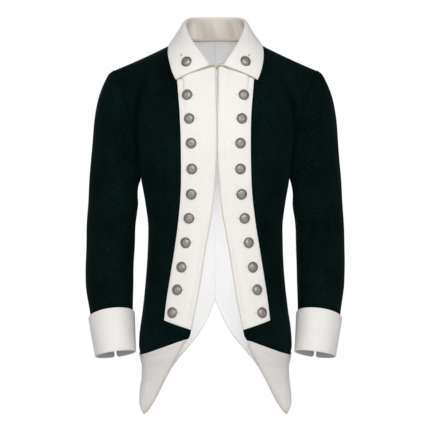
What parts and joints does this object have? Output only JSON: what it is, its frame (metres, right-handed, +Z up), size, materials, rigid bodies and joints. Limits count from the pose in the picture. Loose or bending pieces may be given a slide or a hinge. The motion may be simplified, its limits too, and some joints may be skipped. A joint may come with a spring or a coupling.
{
  "type": "tailcoat",
  "caption": "Hollow worn-form regimental tailcoat in dark wool with a turned-down collar, buttoned-back lapels, round cuffs and turned-back skirts",
  "frame": {"origin": "middle of the neck at the height of the inner shoulder seams, where the wearer's neck and shoulders hold the coat", "axes": "+Z up towards the collar, -Y is the coat's front, +X is the wearer's left side"},
  "size_m": [0.5684, 0.2503, 0.8757],
  "materials": {
    "green_wool": "fulled wool broadcloth, soft nap",
    "cream_wool": "fulled wool broadcloth, soft nap",
    "turnback_wool": "fine pale wool serge",
    "lining": "smooth twill lining, faint sheen",
    "pewter": "cast pewter, worn satin",
    "steel_wire": "plain drawn wire"
  },
  "bodies": {
    "root": {"front_left": "green_wool", "back_left": "green_wool", "lining_left": "lining", "front_right": "green_wool", "back_right": "green_wool", "lining_right": "lining", "turnback_front_left": "turnback_wool", "turnback_back_left": "turnback_wool", "turnback_front_right": "turnback_wool", "turnback_back_right": "turnback_wool", "lapel_left": "cream_wool", "lapel_right": "cream_wool", "sleeve_upper_left": "green_wool", "sleeve_under_left": "green_wool", "cuff_left": "cream_wool", "sleeve_upper_right": "green_wool", "sleeve_under_right": "green_wool", "cuff_right": "cream_wool", "collar": "cream_wool", "button_lapel_left_01": "pewter", "button_lapel_left_02": "pewter", "button_lapel_left_03": "pewter", "button_lapel_left_04": "pewter", "button_lapel_left_05": "pewter", "button_lapel_left_06": "pewter", "button_lapel_left_07": "pewter", "button_lapel_left_08": "pewter", "button_lapel_left_09": "pewter", "button_lapel_left_10": "pewter", "button_lapel_right_01": "pewter", "button_lapel_right_02": "pewter", "button_lapel_right_03": "pewter", "button_lapel_right_04": "pewter", "button_lapel_right_05": "pewter", "button_lapel_right_06": "pewter", "button_lapel_right_07": "pewter", "button_lapel_right_08": "pewter", "button_lapel_right_09": "pewter", "button_lapel_right_10": "pewter", "button_collar_left": "pewter", "button_collar_right": "pewter", "hook": "steel_wire", "eye": "steel_wire"}
  },
  "joints": []
}
